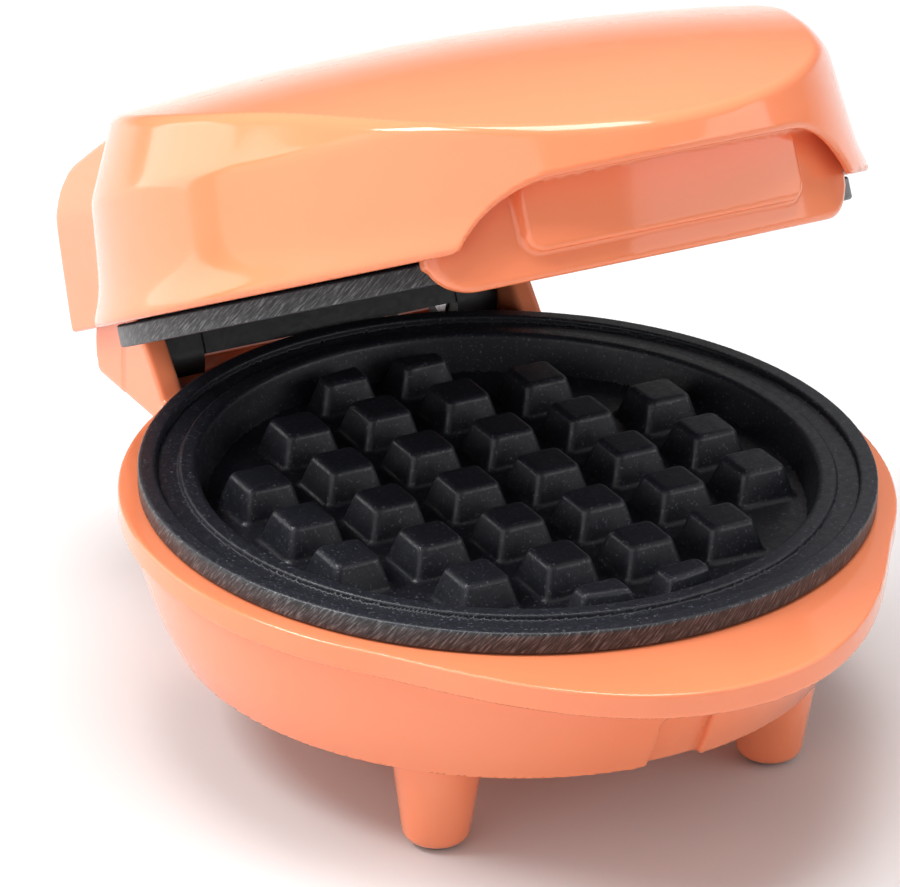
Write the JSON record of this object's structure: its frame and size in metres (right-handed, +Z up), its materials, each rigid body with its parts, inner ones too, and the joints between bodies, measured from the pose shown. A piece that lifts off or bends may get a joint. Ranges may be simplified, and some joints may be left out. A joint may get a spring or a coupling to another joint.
{
  "type": "waffle maker",
  "caption": "Compact round waffle maker with a hinged lid, two stud-faced cooking plates, a finger brow on the lid and a tapered base on cone feet.",
  "frame": {"origin": "centre of the box round the whole part with the lid ajar, at the floor under the feet", "axes": "+Z up, +Y towards the hinge, -Y towards the finger brow, +X to the right seen from the front"},
  "size_m": [0.133, 0.1764, 0.1316],
  "materials": {
    "coral_shell": "glossy moulded coral plastic",
    "nonstick": "dark speckled non-stick coating on cast aluminium",
    "steel": "zinc-plated steel",
    "shield": "plain sheet",
    "heater": "dull sheathed heating tube",
    "black_nylon": "matt glass-filled nylon",
    "ceramic": "off-white ceramic and phenolic",
    "sleeving": "glass-braid sleeving on hook-up wire",
    "pad_rubber": "soft matt rubber"
  },
  "bodies": {
    "base": {"base_housing": "coral_shell", "base_cover": "coral_shell", "foot_pads": "pad_rubber", "cover_screws": "steel", "lower_plate": "nonstick", "lower_element": "heater", "lower_reflector": "shield", "lower_plate_screws": "steel", "base_thermostat": "ceramic", "thermostat_screws": "steel", "thermal_fuse": "ceramic", "terminal_block": "ceramic", "base_wiring": "sleeving", "cord_gland": "black_nylon", "cord_clamp": "black_nylon", "cord_clamp_screws": "steel", "hinge_pins": "steel"},
    "lid": {"lid_housing": "coral_shell", "lid_carrier": "black_nylon", "upper_plate": "nonstick", "upper_element": "heater", "upper_reflector": "shield", "upper_plate_screws": "steel", "lid_thermostat": "ceramic", "lid_thermostat_screws": "steel", "lid_wiring": "sleeving", "hinge_arms": "black_nylon", "hinge_arm_screws": "steel", "carrier_screws": "steel"}
  },
  "joints": [
    {"name": "lid_hinge", "type": "hinge", "parent": "base", "child": "lid", "pos_m": [0, 0.06249, 0.0443], "axis": [-1, 0, 0], "range_deg": [-27, 68]}
  ]
}
